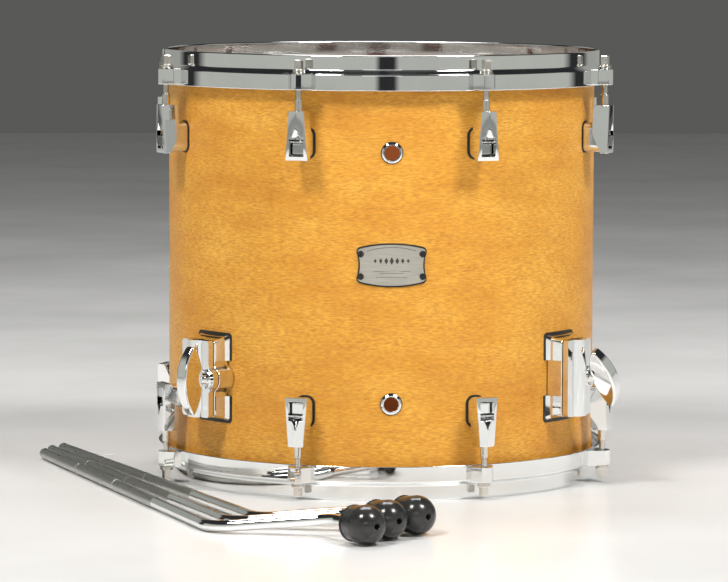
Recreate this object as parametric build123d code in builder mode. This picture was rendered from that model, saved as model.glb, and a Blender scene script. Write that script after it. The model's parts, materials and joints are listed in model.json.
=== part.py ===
from build123d import *
import os
from math import asin, atan, cos, degrees, radians, sin

# A 16 x 15 inch floor tom with eight tension rods a head and three clamped legs, which
# lie on the floor in front of it. The origin is on the drum's axis, in the plane of its
# lower rim. +Z is up and the badge faces -Y. Millimetres and degrees.
# A fitting is built at angle 0, where +X points out of the drum, +Y is to the right of
# somebody who looks at it from outside, and +Z is up. It is then turned to its places.

os.makedirs("parts", exist_ok=True)

# Shell
shell_radius = 202.2
shell_wall = 6.2
shell_length = 381.0
bearing_bevel = 4.6
rim_overhang = 12.0
shell_bottom = rim_overhang
shell_top = shell_bottom + shell_length
drum_height = shell_length + 2 * rim_overhang
inner_radius = shell_radius - shell_wall
middle = Plane.XY.offset(drum_height / 2)

# Heads and their flesh rings
film = 0.35
film_gap = 0.3
collar_radius = shell_radius + film_gap
collar_depth = 12.25
ring_inner, ring_outer = 203.2, 208.6
ring_bottom, ring_top = shell_top - 15.0, shell_top - 7.0

# Hoops
hoop_band_radius = 212.4
hoop_rim_radius = 207.0
hoop_rim_inner = 204.2
hoop_pocket_radius = 209.0
hoop_bottom = shell_top - 20.0
ear_bottom, ear_top = shell_top - 19.0, shell_top - 4.4

# Tension rods, their washers and their swivel nuts
rod_count = 8
rod_circle = 221.5
rod_start_angle = 180 / rod_count
rod_radius = 2.65
rod_length = 53.0
rod_head_square, rod_head_height = 6.35, 8.7
rod_flange_radius, rod_flange_height = 5.9, 2.3
washer_radius, washer_thickness = 6.1, 1.5
rod_hole_radius = 3.1
rod_seat = ear_top + washer_thickness + 0.15
nut_radius = 3.65
nut_bore = rod_radius + 0.2
nut_top = shell_top - 27.5
nut_length = 24.0

# Lugs
lug_low, lug_high = 310.2, 355.0
lug_wide, lug_narrow = 10.7, 7.3
lug_ridge_radius = 229.8
window_width, window_low, window_high = 13.8, 314.0, 331.0
hook_height = 320.5
hook_foot_height, hook_foot_size, hook_foot_corner = 325.0, (16.0, 27.4), 6.5
hook_tongue_size = (12.4, 10.6)
screw_radius = 2.4
screw_hole = 2.75
gasket = 1.0
gasket_gap = 0.05

# Leg brackets: a fixed half on the shell and a clamp jaw, with the leg between them
bracket_height = 105.1
bracket_angles = {"left": -90 - 52.3, "right": -90 + 52.3, "rear": 90}
wing_turns = {"left": 0, "right": 33, "rear": 12}
bracket_screw_rise = 25.0
bracket_half_width, bracket_half_height = 19.6, 35.6
bracket_base_width, bracket_base_height = 46.0, 81.4
bracket_neck_width, bracket_neck_height, bracket_skirt = 41.4, 75.6, 6.0
split_radius = 218.6
split_gap = 1.2
jaw_thickness = 5.4
leg_circle = 221.6
leg_radius = 5.25
leg_bore = 5.35
clamp_wall = 9.4
wing_offset = 15.5
wing_boss = 12.0
wing_bolt_radius = 4.0
wing_hub_radius = 9.25
wing_half_span, wing_depth = 33.5, 24.5
wing_root, wing_rim, wing_sweep = 6.4, 13.6, 12.0
waist_height = 33.0
bracket_gasket_size = (48.6, 83.6)

# Legs, as they lie: where the plain end is, and the heading from -Y towards +X
leg_straight = 512.0
leg_knee = (568.0, 90.0)
leg_tip = (620.0, 103.0)
leg_bend_radii = [34, 30]
foot_radius = 17.3
foot_collar_radius = 15.3
foot_collar_length = 17.7
foot_lip = 0.3
leg_places = {
    "front": ((-324.6, 89.6), 18.06),
    "middle": ((-318.1, 113.0), 19.46),
    "back": ((-307.5, 129.6), 21.06),
}
groove_spacing = 119.0

# Badge and vents, on the front of the drum
front_angle = -90
badge_height = 215.0
badge_width, badge_tall = 65.5, 40.0
badge_border = 1.4
badge_screw_spacing = (56.2, 20.5)
vent_heights = {"upper": 317.0, "lower": 88.0}
vent_bore = 6.8
vent_flange = 9.4

rods = (rod_count, rod_start_angle)


def export(name, builder):
    """Label a finished piece and write its file."""
    builder.part.label = name
    export_step(builder.part, f"parts/{name}.step")


# ---------------------------------------------------------------- shell
with BuildPart() as shell:
    with BuildSketch(Plane.XZ):
        with Locations((shell_radius - shell_wall / 2, drum_height / 2)):
            wall = Rectangle(shell_wall, shell_length)
        corners = wall.vertices().group_by(Axis.X)
        chamfer(corners[0], bearing_bevel)
        fillet(corners[-1], 1.2)
    revolve(axis=Axis.Z)
    # holes for the lug screws, the bracket screws and the two vents
    for height in (hook_height, drum_height - hook_height):
        with PolarLocations(0, *rods):
            with Locations(Location((inner_radius, 0, height), (0, 90, 0))):
                Cylinder(screw_hole, 30, mode=Mode.SUBTRACT)
    for angle in bracket_angles.values():
        with Locations(Rotation(0, 0, angle)):
            with Locations(
                Location((inner_radius, 0, bracket_height - bracket_screw_rise), (0, 90, 0)),
                Location((inner_radius, 0, bracket_height + bracket_screw_rise), (0, 90, 0)),
            ):
                Cylinder(screw_hole, 30, mode=Mode.SUBTRACT)
    for height in vent_heights.values():
        with Locations(Rotation(0, 0, front_angle)):
            with Locations(Location((inner_radius, 0, height), (0, 90, 0))):
                Cylinder(vent_bore + 0.9, 30, mode=Mode.SUBTRACT)
export("shell", shell)

# ---------------------------------------------------------------- heads
with BuildPart() as batter_head:
    with BuildSketch(Plane.XZ):
        with BuildLine():
            Polyline(
                (0, shell_top + 0.05),
                (collar_radius, shell_top + 0.05),
                (collar_radius, shell_top - collar_depth),
                (collar_radius + 3.5, shell_top - collar_depth),
                (collar_radius + 3.5, shell_top - collar_depth + film),
                (collar_radius + film, shell_top - collar_depth + film),
                (collar_radius + film, shell_top + 0.05 + film),
                (0, shell_top + 0.05 + film),
                close=True,
            )
        make_face()
    revolve(axis=Axis.Z)
export("batter_head", batter_head)

slot_low = shell_top - collar_depth - 0.3
slot_high = shell_top - collar_depth + film + 0.3
with BuildPart() as batter_head_ring:
    with BuildSketch(Plane.XZ):
        with BuildLine():
            Polyline(
                (ring_inner, ring_bottom),
                (ring_outer, ring_bottom),
                (ring_outer, ring_top),
                (ring_inner, ring_top),
                (ring_inner, slot_high),
                (ring_inner + 3.1, slot_high),
                (ring_inner + 3.1, slot_low),
                (ring_inner, slot_low),
                close=True,
            )
        make_face()
    revolve(axis=Axis.Z)
export("batter_head_ring", batter_head_ring)

# ---------------------------------------------------------------- hoops
# one ear, pointed like a keel, with the tension rod's hole
with BuildPart() as hoop_ear:
    with BuildSketch(Plane.XY.offset(ear_bottom)):
        with BuildLine():
            Polyline(
                (hoop_pocket_radius + 0.6, -13.5),
                (218.5, -11.3),
                (227.2, -5.6),
                (229.3, 0),
                (227.2, 5.6),
                (218.5, 11.3),
                (hoop_pocket_radius + 0.6, 13.5),
                close=True,
            )
        ear_plan = make_face()
        fillet(ear_plan.vertices().filter_by_position(Axis.X, 218, 228), 3)
    extrude(amount=ear_top - ear_bottom)
    ear_rim = hoop_ear.faces().sort_by(Axis.Z)[-1].edges()
    fillet(ear_rim.sort_by(Axis.X)[1:], 0.9)
    with Locations((rod_circle, 0, ear_bottom)):
        Cylinder(rod_hole_radius, 60, mode=Mode.SUBTRACT)

with BuildPart() as batter_hoop:
    with BuildSketch(Plane.XZ):
        with BuildLine():
            Polyline(
                (hoop_band_radius, hoop_bottom),
                (hoop_band_radius, shell_top - 5.2),
                (hoop_rim_radius, shell_top - 1.8),
                (hoop_rim_radius, drum_height),
                (hoop_rim_inner, drum_height),
                (hoop_rim_inner, ring_top),
                (hoop_pocket_radius, ring_top),
                (hoop_pocket_radius, hoop_bottom),
                close=True,
            )
        hoop_section = make_face()
        fillet(hoop_section.vertices().group_by(Axis.Y)[-1], 0.9)
        shoulder = hoop_section.vertices().filter_by_position(
            Axis.Y, shell_top - 5.3, shell_top - 1.7
        )
        fillet(shoulder, 2.2)
    revolve(axis=Axis.Z)
    with PolarLocations(0, *rods):
        add(hoop_ear.part)
export("batter_hoop", batter_hoop)

# ---------------------------------------------------------------- lug, hook and gasket
with BuildPart() as lug:
    with BuildSketch(Plane.XZ):
        with BuildLine():
            front = ThreePointArc((225.4, lug_low), (228.6, 333), (229.6, lug_high))
            Polyline(
                front @ 1, (212.6, lug_high), (211.8, 328.5), (220.4, lug_low), front @ 0
            )
        make_face()
    extrude(amount=lug_wide + 2, both=True)
    with BuildSketch(Plane.YZ.offset(190)):
        with BuildLine():
            Polyline(
                (-lug_wide, lug_low),
                (lug_wide, lug_low),
                (lug_narrow, lug_high),
                (-lug_narrow, lug_high),
                close=True,
            )
        make_face()
    extrude(amount=50, mode=Mode.INTERSECT)
    with BuildSketch(Plane.XY.offset(lug_low - 5)):
        with BuildLine():
            Polyline(
                (200, -14),
                (lug_ridge_radius - 3.4, -14),
                (lug_ridge_radius, 0),
                (lug_ridge_radius - 3.4, 14),
                (200, 14),
                close=True,
            )
        make_face()
    extrude(amount=60, mode=Mode.INTERSECT)
    side_edges = lug.edges().filter_by(
        lambda e: abs((e @ 0.5).Y) > 6 and (e @ 0.5).X > 222 and e.length > 20
    )
    fillet(side_edges, 0.8)
    # the window that the hook reaches through, and the bore of the swivel nut
    with Locations((215, 0, (window_low + window_high) / 2)):
        Box(60, window_width, window_high - window_low, mode=Mode.SUBTRACT)
    with Locations((rod_circle, 0, lug_high - 12)):
        Cylinder(nut_radius + 0.3, 30, mode=Mode.SUBTRACT)

with BuildPart() as lug_hook:
    with BuildSketch(Plane.YZ.offset(shell_radius + gasket + 0.3)):
        with Locations((0, hook_foot_height)):
            RectangleRounded(*hook_foot_size, hook_foot_corner)
    extrude(amount=20)
    # the foot ends just behind the lug, whose back leans away towards its wide end
    with BuildSketch(Plane.XZ):
        with BuildLine():
            Polyline(
                (200, 345), (211.8, 345), (211.3, 328.3), (219.8, 310.2), (219.8, 305),
                (200, 305), close=True,
            )
        make_face()
    extrude(amount=12, both=True, mode=Mode.INTERSECT)
    with BuildSketch(Plane.YZ.offset(210)):
        with Locations((0, hook_height)):
            RectangleRounded(*hook_tongue_size, 1.2)
    extrude(amount=12)
    fillet(lug_hook.faces().sort_by(Axis.X)[-1].edges(), 1.4)
    with Locations(Location((shell_radius, 0, hook_height), (0, 90, 0))):
        Cylinder(screw_radius + 0.1, 18, mode=Mode.SUBTRACT)


def shell_pad(outline, inner, thickness):
    """A pad with the given outline that is curved to lie on the shell."""
    with BuildPart() as pad:
        with BuildSketch(Plane.YZ.offset(inner - 12)):
            add(outline)
        extrude(amount=20)
        with BuildSketch(Plane.XY):
            Circle(inner + thickness)
            Circle(inner, mode=Mode.SUBTRACT)
        extrude(amount=drum_height, mode=Mode.INTERSECT)
    return pad.part


with BuildSketch() as lug_gasket_outline:
    with Locations((0, hook_foot_height)):
        RectangleRounded(
            hook_foot_size[0] + 2.4, hook_foot_size[1] + 2.4, hook_foot_corner + 1.2
        )
    with Locations((0, hook_height)):
        Circle(screw_hole, mode=Mode.SUBTRACT)
lug_gasket = shell_pad(
    lug_gasket_outline.sketch, shell_radius + gasket_gap, gasket
)

with BuildPart() as lug_screw:
    with Locations(Location((inner_radius - 2.0, 0, hook_height), (0, 90, 0))):
        Cylinder(screw_radius, 15.6, align=(Align.CENTER, Align.CENTER, Align.MIN))
    with Locations(Location((inner_radius - 5.4, 0, hook_height), (0, 90, 0))):
        Cylinder(4.4, 3.6, align=(Align.CENTER, Align.CENTER, Align.MIN))
    fillet(lug_screw.faces().sort_by(Axis.X)[0].edges(), 1.2)

with BuildPart() as lug_screw_washer:
    with Locations(Location((inner_radius - 1.6, 0, hook_height), (0, 90, 0))):
        Cylinder(6.5, 1.2, align=(Align.CENTER, Align.CENTER, Align.MIN))
        Cylinder(
            screw_hole, 1.2, align=(Align.CENTER, Align.CENTER, Align.MIN),
            mode=Mode.SUBTRACT,
        )

with BuildPart() as swivel_nut:
    with Locations((rod_circle, 0, nut_top - nut_length)):
        Cylinder(nut_radius, nut_length, align=(Align.CENTER, Align.CENTER, Align.MIN))
    chamfer(swivel_nut.faces().sort_by(Axis.Z)[-1].edges(), 0.6)
    with Locations((rod_circle, 0, nut_top - nut_length)):
        Cylinder(
            nut_bore, nut_length, align=(Align.CENTER, Align.CENTER, Align.MIN),
            mode=Mode.SUBTRACT,
        )

with BuildPart() as rod_washer:
    with Locations((rod_circle, 0, ear_top)):
        Cylinder(
            washer_radius, washer_thickness,
            align=(Align.CENTER, Align.CENTER, Align.MIN),
        )
        Cylinder(
            rod_hole_radius, washer_thickness,
            align=(Align.CENTER, Align.CENTER, Align.MIN), mode=Mode.SUBTRACT,
        )

# ---------------------------------------------------------------- tension rod
with BuildPart() as tension_rod:
    with BuildSketch(Plane.XY.offset(rod_seat)):
        with Locations((rod_circle, 0)):
            Circle(rod_flange_radius)
    extrude(amount=rod_flange_height)
    fillet(tension_rod.faces().sort_by(Axis.Z)[-1].edges(), 0.7)
    with BuildSketch(Plane.XY.offset(rod_seat + rod_flange_height)):
        with Locations((rod_circle, 0)):
            Rectangle(rod_head_square, rod_head_square)
    extrude(amount=rod_head_height)
    fillet(tension_rod.faces().sort_by(Axis.Z)[-1].edges(), 1.1)
    with BuildSketch(Plane.XY.offset(rod_seat)):
        with Locations((rod_circle, 0)):
            Circle(rod_radius)
    extrude(amount=-rod_length)
    chamfer(tension_rod.faces().sort_by(Axis.Z)[0].edges(), 0.5)

for number in range(rod_count):
    turn = rod_start_angle + number * 360 / rod_count
    with BuildPart() as batter_rod:
        with Locations(Rotation(0, 0, turn)):
            add(tension_rod.part)
    export(f"batter_tension_rod_{number + 1}", batter_rod)
    with BuildPart() as resonant_rod:
        add(mirror(batter_rod.part, about=middle, mode=Mode.PRIVATE))
    export(f"resonant_tension_rod_{number + 1}", resonant_rod)


# ---------------------------------------------------------------- rings of eight
def around(piece):
    """Eight copies of a fitting, one at each tension rod."""
    with BuildPart() as ring_of_pieces:
        with PolarLocations(0, *rods):
            add(piece)
    return ring_of_pieces.part


def both_ends(piece):
    """The eight copies at the batter end, and their mirror image at the other end."""
    batter = around(piece)
    return batter, mirror(batter, about=middle)


for label, piece in (
    ("lugs", lug.part),
    ("lug_hooks", lug_hook.part),
    ("swivel_nuts", swivel_nut.part),
    ("rod_washers", rod_washer.part),
):
    batter, resonant = both_ends(piece)
    with BuildPart() as batter_pieces:
        add(batter)
    export(f"batter_{label}", batter_pieces)
    with BuildPart() as resonant_pieces:
        add(resonant)
    export(f"resonant_{label}", resonant_pieces)

for label, piece in (
    ("lug_gaskets", lug_gasket),
    ("lug_screws", lug_screw.part),
    ("lug_screw_washers", lug_screw_washer.part),
):
    with BuildPart() as both:
        for half in both_ends(piece):
            add(half)
    export(label, both)

for label, builder in (
    ("resonant_head", batter_head),
    ("resonant_head_ring", batter_head_ring),
    ("resonant_hoop", batter_hoop),
):
    with BuildPart() as mirrored:
        add(mirror(builder.part, about=middle))
    export(label, mirrored)

# ---------------------------------------------------------------- leg bracket
fixed_face = split_radius - split_gap / 2
jaw_face = split_radius + split_gap / 2
base_start = shell_radius - 2.0
flare_depth = fixed_face - base_start


def bracket_outline(with_boss):
    """The bracket seen from outside: upright, with a boss for the wing bolt."""
    with BuildSketch() as outline:
        with Locations((0, bracket_height)):
            Rectangle(2 * bracket_half_width, 2 * bracket_half_height)
        if with_boss:
            with Locations((wing_offset, bracket_height)):
                Circle(wing_boss)
            inside = outline.vertices().filter_by_position(
                Axis.Y,
                bracket_height - wing_boss,
                bracket_height + wing_boss,
            )
            fillet(inside, 5)
        corners = outline.vertices().group_by(Axis.Y)
        fillet(corners[0] + corners[-1], 3)
    return outline.sketch


# the front of the fixed half, with softened edges
with BuildPart() as bracket_lip:
    with BuildSketch(Plane.YZ.offset(fixed_face - 4)):
        add(bracket_outline(True))
    extrude(amount=4)
    fillet(bracket_lip.faces().sort_by(Axis.X)[-1].edges(), 0.8)

with BuildPart() as bracket:
    # body that narrows a little towards its front, with a flared skirt on the shell
    outlines = (
        (base_start, bracket_base_width, bracket_base_height, 4),
        (base_start + bracket_skirt, bracket_neck_width, bracket_neck_height, 3.5),
        (fixed_face - 1, 2 * bracket_half_width, 2 * bracket_half_height, 3),
    )
    for low_outline, high_outline in zip(outlines, outlines[1:]):
        for distance, width, height, corner in (low_outline, high_outline):
            with BuildSketch(Plane.YZ.offset(distance)):
                with Locations((0, bracket_height)):
                    RectangleRounded(width, height, corner)
        loft()
    # waist in the middle third, where the sides are cut back beside the shell
    for side in (-1, 1):
        with Locations((base_start, side * (bracket_half_width + 10), bracket_height)):
            Box(2 * flare_depth, 20, waist_height, mode=Mode.SUBTRACT)
    with BuildSketch(Plane.YZ.offset(base_start)):
        add(bracket_outline(True))
    extrude(amount=flare_depth - 3)
    add(bracket_lip.part)
    with BuildSketch(Plane.XY):
        Circle(shell_radius + gasket + 0.1)
    extrude(amount=drum_height, mode=Mode.SUBTRACT)
    # half of the leg's bore, the wing bolt's hole and the two screw holes
    with Locations((leg_circle, 0, bracket_height)):
        Cylinder(leg_bore, 120, mode=Mode.SUBTRACT)
    with Locations(Location((fixed_face, wing_offset, bracket_height), (0, 90, 0))):
        Cylinder(wing_bolt_radius + 0.3, 60, mode=Mode.SUBTRACT)
    with Locations(
        Location((shell_radius, 0, bracket_height - bracket_screw_rise), (0, 90, 0)),
        Location((shell_radius, 0, bracket_height + bracket_screw_rise), (0, 90, 0)),
    ):
        Cylinder(screw_radius + 0.1, 22, mode=Mode.SUBTRACT)

with BuildPart() as jaw:
    with BuildSketch(Plane.YZ.offset(jaw_face)):
        add(bracket_outline(True))
    extrude(amount=jaw_thickness)
    # the rounded back of the leg's half bore
    with BuildSketch(Plane.XY.offset(bracket_height - bracket_half_height)):
        with Locations((leg_circle, 0)):
            Circle(clamp_wall)
        with Locations((jaw_face, 0)):
            Rectangle(
                40, 40, align=(Align.MAX, Align.CENTER), mode=Mode.SUBTRACT
            )
    extrude(amount=2 * bracket_half_height)
    with Locations((leg_circle, 0, bracket_height)):
        Cylinder(leg_bore, 120, mode=Mode.SUBTRACT)
    with Locations(Location((jaw_face, wing_offset, bracket_height), (0, 90, 0))):
        Cylinder(wing_bolt_radius + 0.3, 60, mode=Mode.SUBTRACT)
    # round seat for the wing bolt's hub, sunk into the leg's ridge
    with BuildSketch(Plane.YZ.offset(jaw_face + jaw_thickness)):
        with Locations((wing_offset, bracket_height)):
            Circle(wing_hub_radius + 0.5)
    extrude(amount=10, mode=Mode.SUBTRACT)

hub_seat = jaw_face + jaw_thickness + 0.15
wing_inner = hub_seat + 5.0
with BuildPart() as wing_leaf:
    with BuildSketch(Plane.XZ.offset(-wing_offset)):
        with BuildLine():
            inner_edge = ThreePointArc(
                (wing_inner + wing_sweep, bracket_height + wing_half_span),
                (wing_inner, bracket_height),
                (wing_inner + wing_sweep, bracket_height - wing_half_span),
            )
            ThreePointArc(
                inner_edge @ 1,
                (wing_inner + wing_depth, bracket_height),
                inner_edge @ 0,
            )
        leaf = make_face()
        fillet(leaf.vertices(), 3.2)
    extrude(amount=wing_rim / 2 + 1, both=True)
    # thin beside the hub and thicker towards the rim
    with BuildSketch(Plane.XY.offset(bracket_height - wing_half_span)):
        with Locations((wing_inner + wing_depth / 2, wing_offset)):
            Trapezoid(
                wing_rim, wing_depth, degrees(atan(2 * wing_depth / (wing_rim - wing_root))),
                rotation=90,
            )
    extrude(amount=2 * wing_half_span, mode=Mode.INTERSECT)
    for end in (0, -1):
        fillet(wing_leaf.faces().sort_by(Axis.Y)[end].edges(), 2.0)

with BuildPart() as wing_bolt:
    with BuildSketch(Plane.YZ.offset(hub_seat)):
        with Locations((wing_offset, bracket_height)):
            Circle(wing_hub_radius)
    extrude(amount=2.4)
    fillet(wing_bolt.faces().sort_by(Axis.X)[-1].edges(), 0.8)
    with BuildSketch(Plane.YZ.offset(hub_seat + 2.4)):
        with Locations((wing_offset, bracket_height)):
            Circle(6.0)
    extrude(amount=6, taper=12)
    add(wing_leaf.part)
    with BuildSketch(Plane.YZ.offset(hub_seat)):
        with Locations((wing_offset, bracket_height)):
            Circle(wing_bolt_radius)
    extrude(amount=-(hub_seat - shell_radius - gasket - 1))

with BuildSketch() as bracket_gasket_outline:
    with Locations((0, bracket_height)):
        RectangleRounded(*bracket_gasket_size, 4)
    for side in (-1, 1):
        with Locations((side * bracket_gasket_size[0] / 2, bracket_height)):
            Rectangle(10, waist_height, mode=Mode.SUBTRACT)
    with Locations(
        (0, bracket_height - bracket_screw_rise), (0, bracket_height + bracket_screw_rise)
    ):
        Circle(screw_hole, mode=Mode.SUBTRACT)
bracket_gasket = shell_pad(
    bracket_gasket_outline.sketch, shell_radius + gasket_gap, gasket
)

with BuildPart() as bracket_gaskets:
    for angle in bracket_angles.values():
        with Locations(Rotation(0, 0, angle)):
            add(bracket_gasket)
export("bracket_gaskets", bracket_gaskets)

bolt_direction = Axis((0, wing_offset, bracket_height), (1, 0, 0))
for side, angle in bracket_angles.items():
    with BuildPart() as placed_bracket:
        with Locations(Rotation(0, 0, angle)):
            add(bracket.part)
    export(f"leg_bracket_{side}", placed_bracket)
    with BuildPart() as placed_jaw:
        with Locations(Rotation(0, 0, angle)):
            add(jaw.part)
    export(f"bracket_jaw_{side}", placed_jaw)
    turned_bolt = wing_bolt.part.rotate(bolt_direction, wing_turns[side])
    with BuildPart() as placed_bolt:
        with Locations(Rotation(0, 0, angle)):
            add(turned_bolt)
    export(f"wing_bolt_{side}", placed_bolt)

for label, piece in (
    ("bracket_screws", lug_screw.part),
    ("bracket_washers", lug_screw_washer.part),
):
    with BuildPart() as fasteners:
        for angle in bracket_angles.values():
            for step in (-bracket_screw_rise, bracket_screw_rise):
                rise = bracket_height + step - hook_height
                with Locations(Location((0, 0, rise), (0, 0, angle))):
                    add(piece)
    export(label, fasteners)

# ---------------------------------------------------------------- badge
def badge_outline(grow):
    """Badge shape: bowed top and bottom, pinched sides, rounded corners."""
    half_width = badge_width / 2 + grow
    half_height = badge_tall / 2 + grow
    corner = (half_width + 0.6, half_height - 4.6)
    with BuildSketch() as outline:
        with BuildLine():
            ThreePointArc(
                (-corner[0], corner[1]), (0, half_height), (corner[0], corner[1])
            )
            ThreePointArc(
                (corner[0], corner[1]), (half_width - 2.7, 0), (corner[0], -corner[1])
            )
            ThreePointArc(
                (corner[0], -corner[1]), (0, -half_height), (-corner[0], -corner[1])
            )
            ThreePointArc(
                (-corner[0], -corner[1]), (2.7 - half_width, 0), (-corner[0], corner[1])
            )
        make_face()
        fillet(outline.vertices(), 4.5 + grow)
    return outline.sketch


with BuildSketch() as badge_plate_outline:
    with Locations((0, badge_height)):
        add(badge_outline(-badge_border))
with BuildSketch() as badge_gasket_outline:
    with Locations((0, badge_height)):
        add(badge_outline(0))

badge_pieces = {
    "badge_gasket": shell_pad(badge_gasket_outline.sketch, shell_radius + gasket_gap, 0.8),
    "badge_plate": shell_pad(badge_plate_outline.sketch, shell_radius + 0.9, 0.9),
}
for name, piece in badge_pieces.items():
    with BuildPart() as badge_piece:
        with Locations(Rotation(0, 0, front_angle)):
            add(piece)
    export(name, badge_piece)

with BuildPart() as badge_screw:
    with Locations(Location((shell_radius + 1.85, 0, 0), (0, 90, 0))):
        Cylinder(3.1, 1.5, align=(Align.CENTER, Align.CENTER, Align.MIN))
    fillet(badge_screw.faces().sort_by(Axis.X)[-1].edges(), 0.9)
    # cross recess
    for quarter in (0, 90):
        with Locations(Location((shell_radius + 3.35, 0, 0), (quarter, 0, 0))):
            Box(1.6, 3.4, 0.8, mode=Mode.SUBTRACT)
with BuildPart() as badge_screws:
    lean = degrees(badge_screw_spacing[0] / 2 / shell_radius)
    for side in (-1, 1):
        for end in (-1, 1):
            rise = badge_height + end * badge_screw_spacing[1] / 2
            with Locations(Location((0, 0, rise), (0, 0, front_angle + side * lean))):
                add(badge_screw.part)
export("badge_screws", badge_screws)

# ---------------------------------------------------------------- vents
with BuildPart() as grommet:
    with BuildSketch(Plane.XZ):
        with BuildLine():
            Polyline(
                (vent_bore, inner_radius - 1.9),
                (vent_flange - 0.6, inner_radius - 1.9),
                (vent_flange - 0.6, inner_radius - 0.9),
                (vent_bore + 0.6, inner_radius - 0.9),
                (vent_bore + 0.6, shell_radius + 0.5),
                (vent_flange, shell_radius + 0.5),
                (vent_flange, shell_radius + 1.1),
                (vent_bore + 1.2, shell_radius + 2.1),
                (vent_bore, shell_radius + 2.1),
                close=True,
            )
        grommet_section = make_face()
        fillet(grommet_section.vertices().group_by(Axis.Y)[-1], 0.3)
    revolve(axis=Axis.Z)
    # crimp teeth around the mouth
    with PolarLocations(vent_bore, 12):
        with Locations((0, 0, shell_radius + 1.6)):
            Cylinder(0.75, 1.4, mode=Mode.SUBTRACT)
with BuildPart() as vent_gasket:
    with BuildSketch(Plane.XY.offset(shell_radius + 0.1)):
        Circle(vent_flange + 0.75)
        Circle(vent_bore + 1.0, mode=Mode.SUBTRACT)
    extrude(amount=0.35)

with BuildPart() as vent_gaskets:
    for height in vent_heights.values():
        with Locations(Location((0, 0, height), (90, 0, 0))):
            add(vent_gasket.part)
export("vent_gaskets", vent_gaskets)
for name, height in vent_heights.items():
    with BuildPart() as vent:
        with Locations(Location((0, 0, height), (90, 0, 0))):
            add(grommet.part)
    export(f"vent_grommet_{name}", vent)

# ---------------------------------------------------------------- legs
foot_rise = (foot_radius - leg_radius) / leg_tip[1]
ball_sweep = 180 - degrees(asin(foot_collar_radius / foot_radius))


def leg_point(place, heading, along, across):
    """A point of a leg that lies on the floor; its bent end rises onto the foot."""
    turn = radians(heading)
    x = place[0] + along * sin(turn) + across * cos(turn)
    y = place[1] - along * cos(turn) + across * sin(turn)
    return (x, y, leg_radius + foot_rise * across)


for name, (place, heading) in leg_places.items():
    end = Vector(*leg_point(place, heading, 0, 0))
    bend = Vector(*leg_point(place, heading, leg_straight, 0))
    knee = Vector(*leg_point(place, heading, *leg_knee))
    tip = Vector(*leg_point(place, heading, *leg_tip))
    outward = (tip - knee).normalized()
    straight = (bend - end).normalized()
    with BuildPart() as leg:
        with BuildLine() as route:
            FilletPolyline(end, bend, knee, tip - outward * 4, radius=leg_bend_radii)
        with BuildSketch(Plane(origin=end, z_dir=straight)):
            Circle(leg_radius)
        sweep()
        for groove in (1, 2):
            with BuildSketch(Plane(end + straight * groove * groove_spacing, z_dir=straight)):
                Circle(leg_radius + 1)
                Circle(leg_radius - 0.6, mode=Mode.SUBTRACT)
            extrude(amount=2.2, mode=Mode.SUBTRACT)
        chamfer(leg.faces().sort_by(Axis(end, straight))[0].edges(), 0.8)
    export(f"leg_{name}", leg)
    with BuildPart() as foot:
        with BuildSketch(Plane(origin=tip, x_dir=outward, z_dir=outward.cross(Vector(0, 0, 1)))):
            with BuildLine():
                ball = CenterArc((0, 0), foot_radius, 0, ball_sweep)
                collar = (ball @ 1).Y
                Polyline(
                    ball @ 1,
                    (1 - foot_collar_length, collar),
                    (1 - foot_collar_length, collar + foot_lip),
                    (-foot_collar_length - 1.2, collar + foot_lip),
                    (-foot_collar_length - 1.2, leg_radius + 0.1),
                    (-3.7, leg_radius + 0.1),
                    (-3.7, 0),
                    ball @ 0,
                )
            make_face()
        revolve(axis=Axis(tip, outward))
        # blind hole in the end of the ball
        with BuildSketch(Plane(origin=tip + outward * 10, z_dir=outward)):
            Circle(2.4)
        extrude(amount=10, mode=Mode.SUBTRACT)
    export(f"leg_foot_{name}", foot)
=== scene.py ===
import json
from math import cos, pi, radians, sin, tan

import bmesh
import bpy
from mathutils import Matrix, Vector

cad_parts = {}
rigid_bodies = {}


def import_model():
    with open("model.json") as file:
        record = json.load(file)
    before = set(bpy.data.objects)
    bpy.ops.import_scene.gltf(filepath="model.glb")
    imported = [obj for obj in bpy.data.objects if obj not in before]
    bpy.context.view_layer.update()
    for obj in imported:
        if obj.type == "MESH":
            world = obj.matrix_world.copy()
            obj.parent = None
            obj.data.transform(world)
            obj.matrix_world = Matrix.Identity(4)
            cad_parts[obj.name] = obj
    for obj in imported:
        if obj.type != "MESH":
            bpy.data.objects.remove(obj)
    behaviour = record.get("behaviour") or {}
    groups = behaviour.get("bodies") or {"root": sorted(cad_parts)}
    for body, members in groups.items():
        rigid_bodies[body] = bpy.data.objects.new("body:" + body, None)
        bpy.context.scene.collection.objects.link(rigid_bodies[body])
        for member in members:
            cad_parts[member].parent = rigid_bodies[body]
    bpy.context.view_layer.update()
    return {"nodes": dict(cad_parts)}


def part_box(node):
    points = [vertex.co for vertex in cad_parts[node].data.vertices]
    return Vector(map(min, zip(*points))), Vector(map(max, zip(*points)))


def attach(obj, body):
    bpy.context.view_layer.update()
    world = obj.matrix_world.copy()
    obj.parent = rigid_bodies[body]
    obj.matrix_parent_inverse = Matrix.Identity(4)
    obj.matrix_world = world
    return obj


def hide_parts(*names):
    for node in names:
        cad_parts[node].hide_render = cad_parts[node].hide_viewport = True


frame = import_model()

nodes = frame["nodes"]

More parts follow.
